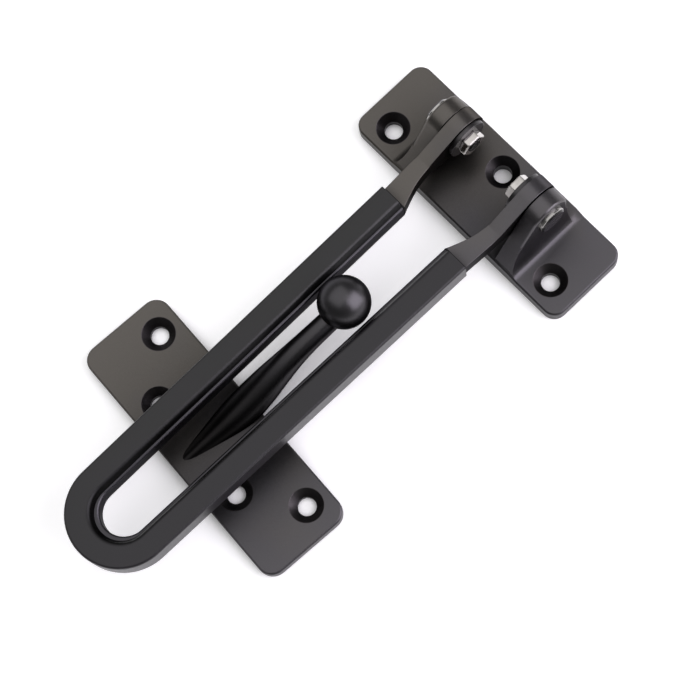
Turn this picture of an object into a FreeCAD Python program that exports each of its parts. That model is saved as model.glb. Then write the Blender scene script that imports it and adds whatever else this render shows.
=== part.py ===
import FreeCAD, Part
import math
import os

# Swing bar door guard, all sizes in millimetres.
# The origin is the middle of the hinge plate's back face.
# +X runs along the hinge axis, +Z points out of the wall, and the closed bar points to -Y.

# Hinge plate: a casting with a raised middle and two ears.
HINGE_L = 72.0
HINGE_W = 24.0
HINGE_T = 4.0
HINGE_CORNER_R = 3.5
PAD_T = 5.0
PAD_HALF = 19.6
PAD_RAMP = 2.8
EDGE_BREAK = 0.4

# Hinge axis and ears.
AXIS_Y = 3.0
AXIS_Z = 16.0
EAR_R = 5.9
EAR_IN = 14.7
EAR_T = 4.4
EAR_FOOT_Y = -11.4
EAR_EDGE_R = 0.7
FAIRING_H = 8.0

# Countersunk screw holes shared by both plates.
SCREW_R = 2.35
SINK_R = 4.3
HINGE_END_HOLE_X = 28.0
HINGE_END_HOLE_Y = -5.4
HINGE_MID_HOLE_Y = 5.7

# Pivot fasteners.
BOLT_R = 1.75
BOLT_HEAD_R = 3.8
BOLT_HEAD_T = 1.3
BOLT_HEAD_EDGE = 0.5
BOLT_END = 0.2
NUT_AF = 6.0
NUT_T = 2.3
NUT_CROWN_R = 3.2
WASHER_R = 5.5
WASHER_T = 1.1
EYE_RUN = 0.06
WASHER_RUN = 0.15

# Swing bar: a U bar whose legs open slightly towards the hinge.
EYE_R = 6.2
EYE_T = 4.0
EYE_SIDE_GAP = 0.3
EYE_WASHER_GAP = 0.05
LOOP_Y = -120.1
LOOP_R = 13.65
LOOP_EXTRA = 0.8
LEG_END_Y = -20.8
LEG_END_HALF = 14.6
BAR_BELOW = 3.0
BAR_ABOVE = 1.8
BAR_INSET = 0.6
BAR_INNER = 7.55
BAR_BEAD_R = 0.65
TAB_STRAIGHT_Y = -12.0
TAB_TAIL_Y = -9.0
TAB_CURVE = [(8.1, -18.3), (9.2, -15.3), (10.0, -11.8)]
TAB_CURVE_END_Y = -5.0

# Sleeve: a channel round the bar, open to the slot.
SLEEVE_BELOW = 3.7
SLEEVE_ABOVE = 3.7
SLEEVE_TOP_W = 5.9
SLEEVE_LIP_W = 6.85
SLEEVE_LIP_EXTRA = 0.2
SLEEVE_LIP_R = 1.2
SLEEVE_EDGE_R = 0.7

# Ball plate and the ball that stands in the slot.
BALL_Y = -47.3
BALL_Z = 19.0
BALL_R = 6.6
BALL_REACH = 44.2
PLATE_TURN_DEG = -3.0
BALL_L = 73.8
BALL_W = 25.2
BALL_T = 3.5
BALL_CORNER_R = 4.0
BACK_HOLE_X = 28.6
BACK_HOLE_Y = 6.05
FRONT_HOLE_X = 14.9
FRONT_HOLE_Y = -5.1

# Arm: round sections from the ball down to a pointed foot, as distance, height and radius.
ARM_SECTIONS = [(0.0, 16.4, 2.3), (12.0, 13.3, 2.9), (22.0, 9.5, 3.7), (31.0, 5.0, 4.5), (42.0, 2.2, 3.7),
                (56.0, -0.2, 3.0)]
SPIGOT_R = 3.0
SPIGOT_Y = 5.0

UP = FreeCAD.Vector(0, 0, 1)
ALONG = FreeCAD.Vector(1, 0, 0)


def vec(x, y, z=0.0):
    return FreeCAD.Vector(x, y, z)


def polygon(points):
    return Part.makePolygon(points + [points[0]])


def prism(wire, direction):
    return Part.Face(wire).extrude(direction)


def fuse(shapes):
    whole = shapes[0].fuse(shapes[1:]) if len(shapes) > 1 else shapes[0]
    return whole.removeSplitter()


def mirrored_pair(shape):
    return [shape, shape.mirror(vec(0, 0), ALONG)]


def rounded_plate(length, width, thickness, corner):
    block = Part.makeBox(length, width, thickness, vec(-length / 2, -width / 2))
    uprights = [e for e in block.Edges if abs(e.Vertexes[0].Z - e.Vertexes[1].Z) > thickness / 2]
    return block.makeFillet(corner, uprights)


def screw_hole(x, y, top):
    # A plain hole with a 90 degree countersink at the given height.
    depth = SINK_R - SCREW_R
    hole = Part.makeCylinder(SCREW_R, top + 2, vec(x, y, -1))
    sink = Part.makeCone(SCREW_R, SINK_R + 1, depth + 1, vec(x, y, top - depth))
    return hole.fuse(sink)


def ear_outline(x):
    # The ear's side view: a foot at the front, a round top about the axis, an upright back.
    reach = math.hypot(EAR_FOOT_Y - AXIS_Y, PAD_T - AXIS_Z)
    aim = math.atan2(PAD_T - AXIS_Z, EAR_FOOT_Y - AXIS_Y)
    touch = aim - math.acos(EAR_R / reach)
    front = vec(x, AXIS_Y + EAR_R * math.cos(touch), AXIS_Z + EAR_R * math.sin(touch))
    top = vec(x, AXIS_Y + EAR_R * math.cos(touch / 2), AXIS_Z + abs(EAR_R * math.sin(touch / 2)))
    back = vec(x, AXIS_Y + EAR_R, AXIS_Z)
    base = HINGE_T / 2
    foot = vec(x, EAR_FOOT_Y, PAD_T)
    edges = [
        Part.makeLine(vec(x, EAR_FOOT_Y, base), foot),
        Part.makeLine(foot, front),
        Part.Arc(front, top, back).toShape(),
        Part.makeLine(back, vec(x, AXIS_Y + EAR_R, base)),
        Part.makeLine(vec(x, AXIS_Y + EAR_R, base), vec(x, EAR_FOOT_Y, base)),
    ]
    return Part.Wire(edges)


def hinge_plate():
    outline = rounded_plate(HINGE_L, HINGE_W, 3 * PAD_T, HINGE_CORNER_R)
    half = HINGE_L / 2
    foot = PAD_HALF + PAD_RAMP
    section = polygon([
        vec(-half, -HINGE_W, 0), vec(half, -HINGE_W, 0), vec(half, -HINGE_W, HINGE_T),
        vec(foot, -HINGE_W, HINGE_T), vec(PAD_HALF, -HINGE_W, PAD_T), vec(-PAD_HALF, -HINGE_W, PAD_T),
        vec(-foot, -HINGE_W, HINGE_T), vec(-half, -HINGE_W, HINGE_T)])
    body = prism(section, vec(0, 2 * HINGE_W, 0)).common(outline)
    body = body.makeChamfer(EDGE_BREAK, [e for e in body.Edges if rim_edge(e, HINGE_T / 2)])
    outer = EAR_IN + EAR_T
    ear = prism(ear_outline(EAR_IN), ALONG * EAR_T)
    ear = ear.makeFillet(EAR_EDGE_R, [e for e in ear.Edges if ear_rim(e, outer)])
    # A hollow fairing joins the ear's outer face to the foot of the ramp.
    depth = AXIS_Y + EAR_R - EAR_FOOT_Y
    hollow = foot - outer
    root = outer - EAR_EDGE_R
    fairing = prism(ear_outline(root), ALONG * (foot - root))
    cover = Part.makeBox(foot - root, depth, HINGE_T + FAIRING_H, vec(root, EAR_FOOT_Y, 0))
    middle = vec(foot, EAR_FOOT_Y, HINGE_T + FAIRING_H)
    curve = Part.Ellipse(middle + vec(0, 0, FAIRING_H), middle + vec(hollow, 0, 0), middle)
    scoop = prism(Part.Wire([curve.toShape()]), vec(0, depth, 0))
    fairing = fairing.common(cover).cut(scoop)
    bore = Part.makeCylinder(BOLT_R, EAR_T + 2, vec(EAR_IN - 1, AXIS_Y, AXIS_Z), ALONG)
    plate = fuse([body] + mirrored_pair(ear) + mirrored_pair(fairing))
    holes = [screw_hole(x, HINGE_END_HOLE_Y, HINGE_T) for x in (-HINGE_END_HOLE_X, HINGE_END_HOLE_X)]
    holes.append(screw_hole(0, HINGE_MID_HOLE_Y, PAD_T))
    return plate.cut(holes + mirrored_pair(bore))


def rim_edge(edge, above):
    # The outline of a plate's upper face: every edge there that borders an upright side.
    middle = edge.valueAt((edge.FirstParameter + edge.LastParameter) / 2)
    ends = [v.Point for v in edge.Vertexes]
    if min(p.z for p in ends) < above:
        return False
    if abs(abs(middle.x) - HINGE_L / 2) < 1e-6 or abs(abs(middle.y) - HINGE_W / 2) < 1e-6:
        return True
    return len(ends) == 2 and abs(ends[0].x - ends[1].x) > 1e-6 and abs(ends[0].y - ends[1].y) > 1e-6


def ear_rim(edge, outer):
    # The ear's outer rim above the plate.
    ends = [v.Point for v in edge.Vertexes]
    return all(abs(p.x - outer) < 1e-6 for p in ends) and max(p.z for p in ends) > PAD_T + 1


def bolt(clear_end):
    head_x = EAR_IN + EAR_T
    head = Part.makeCylinder(BOLT_HEAD_R, BOLT_HEAD_T, vec(head_x, AXIS_Y, AXIS_Z), ALONG)
    rim = [e for e in head.Edges if abs(e.CenterOfMass.x - head_x - BOLT_HEAD_T) < 1e-6]
    head = head.makeChamfer(BOLT_HEAD_EDGE, rim)
    shank = Part.makeCylinder(BOLT_R, head_x - clear_end, vec(clear_end, AXIS_Y, AXIS_Z), ALONG)
    return fuse([head, shank])


def nut(inner):
    corner = NUT_AF / math.sqrt(3)
    points = []
    for k in range(6):
        turn = math.radians(60 * k)
        points.append(vec(inner, AXIS_Y + corner * math.cos(turn), AXIS_Z + corner * math.sin(turn)))
    hexagon = prism(polygon(points), ALONG * NUT_T)
    # Both ends are crowned, so the corners are cut back to a circle.
    slope = corner - NUT_CROWN_R
    lower = Part.makeCone(NUT_CROWN_R, corner + NUT_T, NUT_T + slope, vec(inner, AXIS_Y, AXIS_Z), ALONG)
    upper = Part.makeCone(corner + NUT_T, NUT_CROWN_R, NUT_T + slope, vec(inner - slope, AXIS_Y, AXIS_Z), ALONG)
    bore = Part.makeCylinder(BOLT_R, NUT_T + 2, vec(inner - 1, AXIS_Y, AXIS_Z), ALONG)
    return hexagon.common(lower).common(upper).cut(bore)


def washer(inner):
    ring = Part.makeCylinder(WASHER_R, WASHER_T, vec(inner, AXIS_Y, AXIS_Z), ALONG)
    return ring.cut(Part.makeCylinder(BOLT_R + WASHER_RUN, WASHER_T + 2, vec(inner - 1, AXIS_Y, AXIS_Z), ALONG))


def leg_half(offset, y):
    # Half the bar's width at y, measured to a line set in from the outer side by the offset.
    reach = LEG_END_Y - LOOP_Y
    tilt = math.atan2(LEG_END_HALF, reach) - math.asin(LOOP_R / math.hypot(LEG_END_HALF, reach))
    return (LOOP_R - offset + (y - LOOP_Y) * math.sin(tilt)) / math.cos(tilt), tilt


def u_outline(offset, end_y, z, extra=0.0):
    # The closed outline of the U set in from its outer side, ended square at end_y.
    # The extra moves the round end up the slot, which thickens the loop's end.
    half, tilt = leg_half(offset, end_y)
    middle = LOOP_Y + extra
    radius = LOOP_R - offset + extra * math.sin(tilt)
    right = vec(radius * math.cos(tilt), middle - radius * math.sin(tilt), z)
    left = vec(-right.x, right.y, z)
    return Part.Wire([
        Part.makeLine(vec(half, end_y, z), right),
        Part.Arc(right, vec(0, middle - radius, z), left).toShape(),
        Part.makeLine(left, vec(-half, end_y, z)),
        Part.makeLine(vec(-half, end_y, z), vec(half, end_y, z)),
    ])


def slot_rim(shape, z):
    # The edges round the slot at the given height.
    rim = []
    for edge in shape.Edges:
        ends = [v.Point for v in edge.Vertexes]
        level = all(abs(p.z - z) < 1e-6 for p in ends)
        inside = all(abs(p.x) < LEG_END_HALF - SLEEVE_TOP_W / 2 for p in ends)
        crosses = all(abs(p.y - LEG_END_Y) < 1e-6 for p in ends)
        if level and inside and not crosses:
            rim.append(edge)
    return rim


def swing_bar():
    low = AXIS_Z - BAR_BELOW
    tall = BAR_BELOW + BAR_ABOVE
    eye_out = EAR_IN - EYE_SIDE_GAP
    eye_in = eye_out - EYE_T
    loop = prism(u_outline(BAR_INSET, LEG_END_Y, low), UP * tall)
    loop = loop.cut(prism(u_outline(BAR_INNER, LEG_END_Y + 1, low - 1, LOOP_EXTRA), UP * (tall + 2)))
    # The edge towards the slot is rolled over.
    loop = loop.makeFillet(BAR_BEAD_R, slot_rim(loop, low + tall))
    # Each leg narrows to a flat eye: straight outside, an S curve inside.
    outer_half = leg_half(BAR_INSET, LEG_END_Y)[0]
    inner_half = leg_half(BAR_INNER, LEG_END_Y)[0]
    curve = Part.BSplineCurve()
    curve.interpolate(
        [vec(inner_half, LEG_END_Y, low)] + [vec(x, y, low) for x, y in TAB_CURVE]
        + [vec(eye_in, TAB_CURVE_END_Y, low)],
        InitialTangent=vec(0.5, 1, 0), FinalTangent=vec(0, 1, 0))
    tab = prism(Part.Wire([
        Part.makeLine(vec(inner_half, LEG_END_Y, low), vec(outer_half, LEG_END_Y, low)),
        Part.makeLine(vec(outer_half, LEG_END_Y, low), vec(eye_out, TAB_STRAIGHT_Y, low)),
        Part.makeLine(vec(eye_out, TAB_STRAIGHT_Y, low), vec(eye_out, AXIS_Y, low)),
        Part.makeLine(vec(eye_out, AXIS_Y, low), vec(eye_in, AXIS_Y, low)),
        Part.makeLine(vec(eye_in, AXIS_Y, low), vec(eye_in, TAB_CURVE_END_Y, low)),
        curve.toShape(),
    ]), UP * tall)
    # The tab's upper and lower faces run out to the round eye along its tangents.
    sides = []
    for edge_z, sign in ((AXIS_Z + BAR_ABOVE, 1), (low, -1)):
        reach = math.hypot(TAB_TAIL_Y - AXIS_Y, edge_z - AXIS_Z)
        aim = math.atan2(edge_z - AXIS_Z, TAB_TAIL_Y - AXIS_Y)
        touch = aim - sign * math.acos(EYE_R / reach)
        sides.append(vec(eye_in, TAB_TAIL_Y, edge_z))
        sides.append(vec(eye_in, AXIS_Y + EYE_R * math.cos(touch), AXIS_Z + EYE_R * math.sin(touch)))
    tail = prism(polygon([sides[0], sides[1], vec(eye_in, AXIS_Y, AXIS_Z), sides[3], sides[2]]), ALONG * EYE_T)
    eye = Part.makeCylinder(EYE_R, EYE_T, vec(eye_in, AXIS_Y, AXIS_Z), ALONG)
    arm = fuse([tab, tail, eye])
    bore = Part.makeCylinder(BOLT_R + EYE_RUN, EYE_T + 2, vec(eye_in - 1, AXIS_Y, AXIS_Z), ALONG)
    arm = arm.cut(bore)
    return fuse([loop] + mirrored_pair(arm))


def bar_sleeve():
    low = AXIS_Z - SLEEVE_BELOW
    tall = SLEEVE_BELOW + SLEEVE_ABOVE
    bar_top = AXIS_Z + BAR_ABOVE
    top = AXIS_Z + SLEEVE_ABOVE
    over = 0.5
    block = prism(u_outline(0, LEG_END_Y, low), UP * tall)
    rims = [e for e in block.Edges if all(abs(v.Y - LEG_END_Y) > 1e-6 for v in e.Vertexes)
            or abs(e.Vertexes[0].Y - e.Vertexes[1].Y) > 1]
    block = block.makeFillet(SLEEVE_EDGE_R, [e for e in rims if abs(e.Vertexes[0].Z - e.Vertexes[1].Z) < 1e-6])
    slot = prism(u_outline(SLEEVE_LIP_W, LEG_END_Y + 1, low - 1, SLEEVE_LIP_EXTRA), UP * (bar_top - low + 1))
    # The upper lip slopes back from the slot and rolls over into the top.
    run = (SLEEVE_LIP_W - SLEEVE_TOP_W) / (top - bar_top)
    flare = Part.makeLoft([
        u_outline(SLEEVE_LIP_W, LEG_END_Y + 1, bar_top, SLEEVE_LIP_EXTRA),
        u_outline(SLEEVE_TOP_W - run * over, LEG_END_Y + 1, top + over, SLEEVE_LIP_EXTRA)], True, True)
    block = block.cut([slot, flare])
    block = block.makeFillet(SLEEVE_LIP_R, slot_rim(block, top))
    pocket = prism(u_outline(BAR_INSET, LEG_END_Y + 1, AXIS_Z - BAR_BELOW), UP * (BAR_BELOW + BAR_ABOVE))
    return block.cut(pocket)


def ball_plate():
    plate = rounded_plate(BALL_L, BALL_W, BALL_T, BALL_CORNER_R)
    plate = plate.makeChamfer(EDGE_BREAK, [e for e in plate.Edges if min(v.Z for v in e.Vertexes) > BALL_T / 2])
    spots = [(BACK_HOLE_X, BACK_HOLE_Y), (FRONT_HOLE_X, FRONT_HOLE_Y)]
    holes = [screw_hole(side * x, y, BALL_T) for x, y in spots for side in (-1, 1)]
    holes.append(Part.makeCylinder(SPIGOT_R, BALL_T + 2, vec(0, SPIGOT_Y, -1)))
    return plate.cut(holes)


def ball_arm():
    centre = vec(0, BALL_REACH, BALL_Z)
    rings = [Part.Wire(Part.makeCircle(r, vec(0, BALL_REACH - d, z), vec(0, 1, 0))) for d, z, r in ARM_SECTIONS]
    arm = Part.makeLoft(rings, True)
    # The foot is cut flat where it sits on the plate.
    room = Part.makeBox(4 * BALL_R, 3 * BALL_L, 4 * BALL_Z, vec(-2 * BALL_R, -BALL_L, BALL_T))
    spigot = Part.makeCylinder(SPIGOT_R, BALL_T + EDGE_BREAK, vec(0, SPIGOT_Y, 0))
    return fuse([arm.common(room), Part.makeSphere(BALL_R, centre), spigot])


def on_door(shape):
    # The plate stands turned about the ball, which is in the middle of the slot.
    shape.translate(vec(0, BALL_Y - BALL_REACH))
    shape.rotate(vec(0, BALL_Y), UP, PLATE_TURN_DEG)
    return shape


def main():
    os.makedirs("parts", exist_ok=True)
    washer_x = EAR_IN - EYE_SIDE_GAP - EYE_T - EYE_WASHER_GAP - WASHER_T
    nut_x = washer_x - NUT_T
    pieces = {
        "hinge_plate": hinge_plate(),
        "pivot_bolts": Part.makeCompound(mirrored_pair(bolt(nut_x - BOLT_END))),
        "pivot_washers": Part.makeCompound(mirrored_pair(washer(washer_x))),
        "pivot_nuts": Part.makeCompound(mirrored_pair(nut(nut_x))),
        "swing_bar": swing_bar(),
        "bar_sleeve": bar_sleeve(),
        "ball_plate": on_door(ball_plate()),
        "ball_arm": on_door(ball_arm()),
    }
    for name, shape in pieces.items():
        shape.exportStep("parts/" + name + ".step")
        print(name, len(shape.Solids), "solids", round(shape.Volume, 1), "mm3", shape.isValid())


main()
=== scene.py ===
import math
import bpy
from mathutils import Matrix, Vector


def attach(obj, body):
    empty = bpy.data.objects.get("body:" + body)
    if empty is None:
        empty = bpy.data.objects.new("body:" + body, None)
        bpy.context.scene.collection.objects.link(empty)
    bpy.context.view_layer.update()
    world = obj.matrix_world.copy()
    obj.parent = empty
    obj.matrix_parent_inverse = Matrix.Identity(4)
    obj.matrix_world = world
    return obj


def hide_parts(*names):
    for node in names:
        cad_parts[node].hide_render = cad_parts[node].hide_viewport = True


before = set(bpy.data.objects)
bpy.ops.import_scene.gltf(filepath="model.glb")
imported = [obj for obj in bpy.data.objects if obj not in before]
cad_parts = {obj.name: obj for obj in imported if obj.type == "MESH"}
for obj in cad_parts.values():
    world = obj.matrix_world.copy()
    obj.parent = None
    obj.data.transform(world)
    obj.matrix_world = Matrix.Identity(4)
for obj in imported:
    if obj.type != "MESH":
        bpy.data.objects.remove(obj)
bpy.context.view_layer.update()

# Hinge plate: a zinc casting with two ears, coated in satin gunmetal and screwed to the door frame.
# The coat is smooth but not even: it drifts from brown to violet grey. Its colour is also darkened
# as painted shade in corners, near neighbouring parts and in the countersinks.
BROWN_COAT = (0.118, 0.110, 0.100, 1.0)
VIOLET_COAT = (0.102, 0.098, 0.104, 1.0)
# Painted shade: the darker colour laid into the countersinks.
SINK_SHADE_COAT = (0.082, 0.076, 0.078, 1.0)
COAT_DRIFT = 40.0  # patches to the metre
COAT_TURN = 9.0  # how fast brown gives way to violet along the plate
COAT_GRAIN = 1800.0
COAT_GLOSS = (0.32, 0.38)  # roughness, from the smoothest grain to the coarsest
DRIFT_DETAIL = 2.0
GRAIN_DETAIL = 3.0
NOISE_SPAN = (0.3, 0.7)
# Painted corner shade: how far the occlusion reaches, and how dark the colour gets where it is occluded.
CORNER_REACH = 0.030
CORNER_SPAN = (0.35, 1.0)
CORNER_SHADE_TONE = 0.28
CORNER_RAYS = 8
EDGE_TINT = (0.80, 0.80, 0.80, 1.0)
EDGE_ROUND = 0.00025
EDGE_RAYS = 6
MERGE_GAP = 2e-6
SOFT_ANGLE = math.radians(30)
SINK_RADIUS = 0.0044
HINGE_SINKS = [(-0.028, -0.0054), (0.028, -0.0054), (0.0, 0.0057)]
IN_PLAN = (1.0, 1.0, 0.0)


def add_node(tree, kind, inputs, **settings):
    node = tree.nodes.new(kind)
    for key, value in settings.items():
        setattr(node, key, value)
    for key, value in inputs.items():
        if isinstance(value, bpy.types.NodeSocket):
            tree.links.new(value, node.inputs[key])
        else:
            node.inputs[key].default_value = value
    return node


def number(tree, operation, *values):
    node = add_node(tree, "ShaderNodeMath", dict(enumerate(values)), operation=operation)
    return node.outputs["Value"]


def vector(tree, operation, *values):
    node = add_node(tree, "ShaderNodeVectorMath", dict(enumerate(values)), operation=operation)
    return node.outputs


def between(tree, value, span, ends=(0.0, 1.0)):
    node = add_node(tree, "ShaderNodeMapRange",
                    {"Value": value, "From Min": span[0], "From Max": span[1],
                     "To Min": ends[0], "To Max": ends[1]})
    return node.outputs["Result"]


def tone_over(tree, mask, under, over, mode="MIX"):
    node = add_node(tree, "ShaderNodeMix", {"Factor": mask, "A": under, "B": over},
                    data_type="RGBA", blend_type=mode)
    return node.outputs["Result"]


def new_group(name, inputs, outputs):
    group = bpy.data.node_groups.new(name, "ShaderNodeTree")
    for label, kind, value in inputs:
        socket = group.interface.new_socket(label, in_out="INPUT", socket_type=kind)
        socket.default_value = value
    for label, kind in outputs:
        group.interface.new_socket(label, in_out="OUTPUT", socket_type=kind)
    given = group.nodes.new("NodeGroupInput").outputs
    made = group.nodes.new("NodeGroupOutput").inputs
    return group, given, made


# Satin coat: a colour that drifts slowly and turns from one end to the other, with a fine grain in
# the gloss.
satin, given, made = new_group(
    "satin_coat",
    [("Place", "NodeSocketVector", (0, 0, 0)),
     ("Warm", "NodeSocketColor", BROWN_COAT), ("Cool", "NodeSocketColor", VIOLET_COAT),
     ("Drift", "NodeSocketFloat", COAT_DRIFT), ("Turn", "NodeSocketFloat", COAT_TURN),
     ("Grain", "NodeSocketFloat", COAT_GRAIN),
     ("Gloss Low", "NodeSocketFloat", COAT_GLOSS[0]), ("Gloss High", "NodeSocketFloat", COAT_GLOSS[1])],
    [("Color", "NodeSocketColor"), ("Roughness", "NodeSocketFloat")])
drift = add_node(satin, "ShaderNodeTexNoise",
                 {"Vector": given["Place"], "Scale": given["Drift"], "Detail": DRIFT_DETAIL})
grain = add_node(satin, "ShaderNodeTexNoise",
                 {"Vector": given["Place"], "Scale": given["Grain"], "Detail": GRAIN_DETAIL})
across = add_node(satin, "ShaderNodeSeparateXYZ", {"Vector": given["Place"]}).outputs["X"]
turned = number(satin, "MULTIPLY_ADD", across, given["Turn"], drift.outputs["Fac"])
coat = tone_over(satin, between(satin, turned, NOISE_SPAN), given["Warm"], given["Cool"])
gloss = between(satin, grain.outputs["Fac"], NOISE_SPAN, (given["Gloss Low"], given["Gloss High"]))
satin.links.new(coat, made["Color"])
satin.links.new(gloss, made["Roughness"])

# Sink mask: 1 inside a countersink at the given place, 0 on the face round it.
sink, given, made = new_group(
    "sink_mask",
    [("Place", "NodeSocketVector", (0, 0, 0)), ("Middle", "NodeSocketVector", (0, 0, 0)),
     ("Radius", "NodeSocketFloat", SINK_RADIUS)],
    [("Mask", "NodeSocketFloat")])
level = vector(sink, "MULTIPLY", given["Place"], IN_PLAN)["Vector"]
apart = vector(sink, "DISTANCE", level, given["Middle"])["Value"]
sink.links.new(number(sink, "LESS_THAN", apart, given["Radius"]), made["Mask"])


def use_group(tree, group, inputs):
    return add_node(tree, "ShaderNodeGroup", inputs, node_tree=group).outputs


def satin_finish(tree, place, warm, cool, drift, grain, gloss, turn=COAT_TURN):
    return use_group(tree, satin,
                     {"Place": place, "Warm": warm, "Cool": cool, "Drift": drift, "Turn": turn,
                      "Grain": grain, "Gloss Low": gloss[0], "Gloss High": gloss[1]})


def new_material(name):
    material = bpy.data.materials.new(name)
    material.use_nodes = True
    tree = material.node_tree
    place = tree.nodes.new("ShaderNodeTexCoord").outputs["Object"]
    return material, tree, tree.nodes["Principled BSDF"].inputs, place


def soften_edges(tree, shader, radius):
    soft_edge = add_node(tree, "ShaderNodeBevel", {"Radius": radius}, samples=EDGE_RAYS)
    tree.links.new(soft_edge.outputs["Normal"], shader["Normal"])


def gunmetal(name, sinks):
    material, tree, shader, place = new_material(name)
    finish = satin_finish(tree, place, BROWN_COAT, VIOLET_COAT, COAT_DRIFT, COAT_GRAIN, COAT_GLOSS)
    coat = finish["Color"]
    # Painted shade in the countersinks.
    for x, y in sinks:
        mask = use_group(tree, sink, {"Place": place, "Middle": (x, y, 0.0)})["Mask"]
        coat = tone_over(tree, mask, coat, SINK_SHADE_COAT)
    # Painted shade: the colour darkens in corners and near other parts, from ambient occlusion.
    corner = add_node(tree, "ShaderNodeAmbientOcclusion", {"Distance": CORNER_REACH}, samples=CORNER_RAYS)
    corner_shade = between(tree, corner.outputs["AO"], CORNER_SPAN, (CORNER_SHADE_TONE, 1.0))
    coat = tone_over(tree, 1.0, coat, corner_shade, "MULTIPLY")
    tree.links.new(coat, shader["Base Color"])
    tree.links.new(finish["Roughness"], shader["Roughness"])
    shader["Metallic"].default_value = 1.0
    shader["Specular Tint"].default_value = EDGE_TINT
    soften_edges(tree, shader, EDGE_ROUND)
    return material, tree, shader, place, coat


def smooth_skin(node, body, material):
    bpy.ops.object.select_all(action="DESELECT")
    piece = bpy.data.objects.new(node + "_skin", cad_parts[node].data.copy())
    bpy.context.scene.collection.objects.link(piece)
    bpy.context.view_layer.objects.active = piece
    piece.select_set(True)
    bpy.ops.mesh.customdata_custom_splitnormals_clear()
    bpy.ops.object.mode_set(mode="EDIT")
    bpy.ops.mesh.select_all(action="SELECT")
    bpy.ops.mesh.remove_doubles(threshold=MERGE_GAP)
    bpy.ops.object.mode_set(mode="OBJECT")
    bpy.ops.object.shade_smooth_by_angle(angle=SOFT_ANGLE)
    bpy.ops.object.modifier_add(type="WEIGHTED_NORMAL")
    piece.modifiers[0].keep_sharp = True
    bpy.ops.object.modifier_apply(modifier=piece.modifiers[0].name)
    piece.data.materials.clear()
    piece.data.materials.append(material)
    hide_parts(node)
    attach(piece, body)


hinge_coat, *_ = gunmetal("hinge_gunmetal", HINGE_SINKS)
smooth_skin("hinge_plate", "plates", hinge_coat)

# Pivot bolts: steel pins with flat heads, one pushed through each ear from outside. The heads' faces
# are blackened, and their sides are left bright.
BOLT_BLACK = (0.028, 0.027, 0.028, 1.0)
BOLT_GREY = (0.040, 0.038, 0.038, 1.0)
BOLT_GLOSS = (0.22, 0.30)
BRIGHT_SIDE = (0.45, 0.44, 0.42, 1.0)
BRIGHT_SIDE_RADIUS = 0.00372
STEEL_DRIFT = 300.0
STEEL_GRAIN = 5000.0
NO_TURN = 0.0
HINGE_AXIS = (0.0, 0.003, 0.016)
OFF_AXIS = (0.0, 1.0, 1.0)
blackened, tree, shader, place = new_material("blackened_steel")
finish = satin_finish(tree, place, BOLT_BLACK, BOLT_GREY, STEEL_DRIFT, STEEL_GRAIN, BOLT_GLOSS, NO_TURN)
from_axis = vector(tree, "SUBTRACT", place, HINGE_AXIS)["Vector"]
square_to_axis = vector(tree, "MULTIPLY", from_axis, OFF_AXIS)["Vector"]
radius = vector(tree, "LENGTH", square_to_axis)["Value"]
side = number(tree, "GREATER_THAN", radius, BRIGHT_SIDE_RADIUS)
tree.links.new(tone_over(tree, side, finish["Color"], BRIGHT_SIDE), shader["Base Color"])
tree.links.new(finish["Roughness"], shader["Roughness"])
shader["Metallic"].default_value = 1.0
smooth_skin("pivot_bolts", "plates", blackened)

# Pivot washers: two plain rings stamped from steel sheet, held on the bolts between the bar's eyes
# and the nuts. Their plating is dull, and their dark grey is partly painted shade, standing in for the
# shadow between eye and nut.
WASHER_GREY = (0.080, 0.077, 0.078, 1.0)
WASHER_DARK = (0.060, 0.058, 0.060, 1.0)
WASHER_GLOSS = (0.32, 0.42)


def plated(name, warm, cool, gloss, rounding):
    material, tree, shader, place = new_material(name)
    finish = satin_finish(tree, place, warm, cool, STEEL_DRIFT, STEEL_GRAIN, gloss, NO_TURN)
    tree.links.new(finish["Color"], shader["Base Color"])
    tree.links.new(finish["Roughness"], shader["Roughness"])
    shader["Metallic"].default_value = 1.0
    soften_edges(tree, shader, rounding)
    return material


# Painted shade: the washers' dark grey stands partly for the shadow they sit in.
dull_shaded_nickel = plated("dull_shaded_nickel", WASHER_GREY, WASHER_DARK, WASHER_GLOSS, EDGE_ROUND)
smooth_skin("pivot_washers", "plates", dull_shaded_nickel)

# Pivot nuts: two hexagon nuts of steel, bright with nickel plate and screwed on the inner ends of
# the bolts. The plating rounds their corners.
NICKEL_WARM = (0.62, 0.60, 0.57, 1.0)
NICKEL_DULL = (0.46, 0.44, 0.42, 1.0)
NUT_GLOSS = (0.06, 0.10)
NUT_ROUND = 0.0007
bright_nickel = plated("bright_nickel", NICKEL_WARM, NICKEL_DULL, NUT_GLOSS, NUT_ROUND)
smooth_skin("pivot_nuts", "plates", bright_nickel)

# Swing bar: a zinc casting in the form of a U, hung on the bolts by its two eyes, in the same gunmetal
# coat. Round the slot, inside the sleeve, its colour is darker, painted shade for the dim slot walls,
# and a black band where the sleeve ends is a painted shadow of the gap there.
SLOT_SHADE_COAT = (0.062, 0.060, 0.065, 1.0)
SEAM_SHADOW_BLACK = (0.014, 0.014, 0.015, 1.0)
BAR_EDGE_TINT = (0.35, 0.35, 0.35, 1.0)
SLEEVE_END_Y = -0.0208
SEAM_WIDTH = 0.0005
bar_coat, tree, shader, place, coat = gunmetal("bar_gunmetal", [])
along = add_node(tree, "ShaderNodeSeparateXYZ", {"Vector": place}).outputs["Y"]
# Painted shadow: a black band on the tab just past the sleeve's end, for the gap there.
near_seam_shadow = number(tree, "LESS_THAN", along, SLEEVE_END_Y + SEAM_WIDTH)
seam_shadowed = tone_over(tree, near_seam_shadow, coat, SEAM_SHADOW_BLACK)
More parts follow.
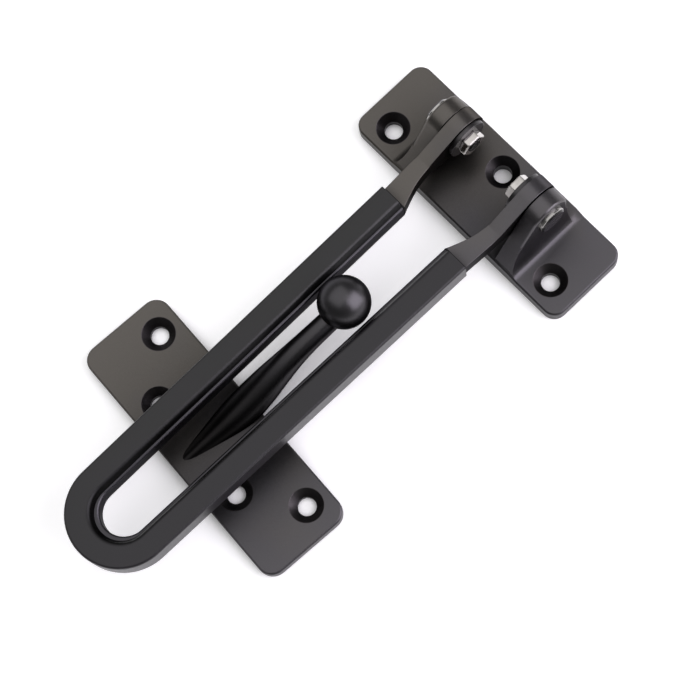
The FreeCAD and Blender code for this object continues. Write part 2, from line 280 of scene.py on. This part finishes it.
# Painted shade: the bar's colour inside the sleeve is darker, for the dim slot walls and bead.
under_sleeve_shade = number(tree, "LESS_THAN", along, SLEEVE_END_Y)
tree.links.new(tone_over(tree, under_sleeve_shade, seam_shadowed, SLOT_SHADE_COAT), shader["Base Color"])
shader["Specular Tint"].default_value = BAR_EDGE_TINT
smooth_skin("swing_bar", "bar", bar_coat)

# Bar sleeve: a dark grey channel, extruded and pressed over the U from outside, smooth with a slight
# gloss. Its lip turns down into the slot, and there it is made black metal with no shine, painted shade
# for the dark band along the slot.
SLEEVE_GREY = (0.006, 0.006, 0.006, 1.0)
SLEEVE_VIOLET = (0.009, 0.008, 0.010, 1.0)
SLEEVE_DRIFT = 30.0
SLEEVE_GRAIN = 2500.0
SLEEVE_GLOSS = (0.34, 0.42)
SLEEVE_SPECULAR = 0.49
# Painted shade: the black of the lip along the slot.
LIP_SHADE_BLACK = (0.010, 0.010, 0.010, 1.0)
LIP_SPAN = (0.0074, 0.0084)
LOOP_MIDDLE_Y = -0.1201
sleeve, tree, shader, place = new_material("sleeve_grey")
finish = satin_finish(tree, place, SLEEVE_GREY, SLEEVE_VIOLET, SLEEVE_DRIFT, SLEEVE_GRAIN, SLEEVE_GLOSS)
spot = add_node(tree, "ShaderNodeSeparateXYZ", {"Vector": place}).outputs
past_loop = number(tree, "SUBTRACT", spot["Y"], LOOP_MIDDLE_Y)
round_loop = number(tree, "MINIMUM", past_loop, 0.0)
in_slot = add_node(tree, "ShaderNodeCombineXYZ", {"X": spot["X"], "Y": round_loop}).outputs["Vector"]
from_slot = vector(tree, "LENGTH", in_slot)["Value"]
# Painted shade: the lip is black and metal, so it shows no shine along the slot.
lip = between(tree, from_slot, LIP_SPAN, (1.0, 0.0))
tree.links.new(tone_over(tree, lip, finish["Color"], LIP_SHADE_BLACK), shader["Base Color"])
tree.links.new(lip, shader["Metallic"])
tree.links.new(finish["Roughness"], shader["Roughness"])
shader["Specular IOR Level"].default_value = SLEEVE_SPECULAR
smooth_skin("bar_sleeve", "bar", sleeve)

# Ball plate: a flat plate in the same gunmetal coat, screwed to the door beside the hinge plate.
# Its four screw holes are countersunk.
BALL_SINKS = [(-0.03056, -0.08390), (0.02656, -0.08690), (-0.01746, -0.09575), (0.01230, -0.09731)]
# Its coat carries the same painted shade in the countersinks and corners.
ball_plate_coat, *_ = gunmetal("ball_plate_gunmetal", BALL_SINKS)
smooth_skin("ball_plate", "plates", ball_plate_coat)

# Ball arm: one casting, a ball on a leaning arm, in a black coat and riveted through the plate. The
# ball is lighter than the arm, from its polish by the slot, and the colour also fades from a painted
# highlight on the neck to painted shade on the lower arm.
BALL_BLACK = (0.075, 0.073, 0.079, 1.0)
BALL_WARM = (0.070, 0.068, 0.070, 1.0)
BALL_DRIFT = 60.0
BALL_GRAIN = 2500.0
BALL_GLOSS = (0.32, 0.36)
ARM_BLACK_AND_SHADE = (0.017, 0.016, 0.016, 1.0)
NECK_SPAN_Y = (-0.088, -0.050)
BLACK_EDGE_TINT = (0.30, 0.30, 0.30, 1.0)
black, tree, shader, place = new_material("gloss_black")
finish = satin_finish(tree, place, BALL_BLACK, BALL_WARM, BALL_DRIFT, BALL_GRAIN, BALL_GLOSS)
along = add_node(tree, "ShaderNodeSeparateXYZ", {"Vector": place}).outputs["Y"]
# Painted highlight and shade: the colour fades from the lighter neck to the dark arm.
polish_and_neck_sheen = between(tree, along, NECK_SPAN_Y)
tree.links.new(tone_over(tree, polish_and_neck_sheen, ARM_BLACK_AND_SHADE, finish["Color"]), shader["Base Color"])
tree.links.new(finish["Roughness"], shader["Roughness"])
shader["Metallic"].default_value = 1.0
shader["Specular Tint"].default_value = BLACK_EDGE_TINT
smooth_skin("ball_arm", "plates", black)

# Floor: a plain white table under both plates. The camera and the gloss see it a little lighter than
# the light alone makes it, but the lift fades near things that cover it, as painted shade, and the
# floor keeps the soft shadow.
FLOOR_SIZE = 8.0
FLOOR_WHITE = (0.80, 0.80, 0.80, 1.0)
FLOOR_ROUGHNESS = 0.9
FLOOR_SPECULAR = 0.0
FLOOR_LIFT = 0.50
LIFT_WHITE = (1.0, 1.0, 1.0, 1.0)
SHADE_REACH = 0.030
SHADE_SPAN = (0.2, 0.65)
bpy.ops.object.select_all(action="DESELECT")
bpy.ops.mesh.primitive_plane_add(size=FLOOR_SIZE, location=(0, 0, 0))
floor = bpy.context.object
floor.name = "floor"
white, tree, shader, _ = new_material("white_table")
shader["Base Color"].default_value = FLOOR_WHITE
shader["Roughness"].default_value = FLOOR_ROUGHNESS
shader["Specular IOR Level"].default_value = FLOOR_SPECULAR
ray = tree.nodes.new("ShaderNodeLightPath").outputs
mirrored = number(tree, "MAXIMUM", ray["Is Glossy Ray"], ray["Is Transmission Ray"])
seen = number(tree, "MAXIMUM", ray["Is Camera Ray"], mirrored)
# Painted shade: the lift fades where nearby things occlude the floor.
covered = add_node(tree, "ShaderNodeAmbientOcclusion", {"Distance": SHADE_REACH}, samples=CORNER_RAYS)
lift_clear_of_shade = between(tree, covered.outputs["AO"], SHADE_SPAN, (0.0, FLOOR_LIFT))
shader["Emission Color"].default_value = LIFT_WHITE
tree.links.new(number(tree, "MULTIPLY", seen, lift_clear_of_shade), shader["Emission Strength"])
floor.data.materials.append(white)

# Studio light: a broad window of cloth up on the right, a dimmer one overhead, and a dark room
# with a low pale wall behind the table and at its sides.
TARGET = Vector((0.0, -0.06, 0.01))
WINDOW_WAY = (0.590, 0.540, 0.600)
WINDOW_AWAY = 0.95
WINDOW_SIZE = (0.95, 1.10)
WINDOW_WATTS = 11.0
WINDOW_TINT = (0.94, 0.89, 1.0)
OVERHEAD_WAY = (-0.33, -0.05, 0.94)
OVERHEAD_AWAY = 1.0
OVERHEAD_SIZE = (1.5, 1.6)
OVERHEAD_WATTS = 7.0
OVERHEAD_TINT = (1.0, 0.985, 1.0)
WALL = (0.62, 0.62, 0.62, 1.0)
ROOM = (0.15, 0.15, 0.15, 1.0)
WALL_SPAN_Z = (0.14, 0.24)
FRONT_SPAN_Y = (-0.75, -0.25)


def softbox(name, toward, away, size, watts, tint):
    light = bpy.data.lights.new(name, "AREA")
    light.shape = "RECTANGLE"
    light.size, light.size_y = size
    light.energy = watts
    light.color = tint
    lamp = bpy.data.objects.new(name, light)
    way = Vector(toward).normalized()
    lamp.location = TARGET + way * away
    lamp.rotation_euler = (-math.asin(way.y), math.atan2(way.x, way.z), 0.0)
    lamp.visible_camera = False
    bpy.context.scene.collection.objects.link(lamp)


softbox("window_softbox", WINDOW_WAY, WINDOW_AWAY, WINDOW_SIZE, WINDOW_WATTS, WINDOW_TINT)
softbox("overhead_softbox", OVERHEAD_WAY, OVERHEAD_AWAY, OVERHEAD_SIZE, OVERHEAD_WATTS, OVERHEAD_TINT)
world = bpy.data.worlds.new("room")
bpy.context.scene.world = world
world.use_nodes = True
tree = world.node_tree
sky = tree.nodes.new("ShaderNodeTexCoord").outputs["Generated"]
way = add_node(tree, "ShaderNodeSeparateXYZ", {"Vector": sky}).outputs
low = between(tree, way["Z"], WALL_SPAN_Z, (1.0, 0.0))
behind = between(tree, way["Y"], FRONT_SPAN_Y)
on_wall = number(tree, "MULTIPLY", low, behind)
tree.links.new(tone_over(tree, on_wall, ROOM, WALL), tree.nodes["Background"].inputs["Color"])

# Camera: a long lens high over the table, a little to the front and right, as the photograph was
# taken. Its turn is in degrees.
SENSOR_MM = 36.0
LENS_MM = 104.879
CAMERA_PLACE = (0.118879, -0.104862, 0.489718)
CAMERA_TURN = (13.57716, 4.68654, 46.52920)
camera = bpy.data.objects.new("camera", bpy.data.cameras.new("camera"))
camera.data.sensor_width = SENSOR_MM
camera.data.lens = LENS_MM
camera.location = CAMERA_PLACE
camera.rotation_euler = [math.radians(a) for a in CAMERA_TURN]
bpy.context.scene.collection.objects.link(camera)
bpy.context.scene.camera = camera
bpy.context.scene.view_settings.view_transform = "Standard"
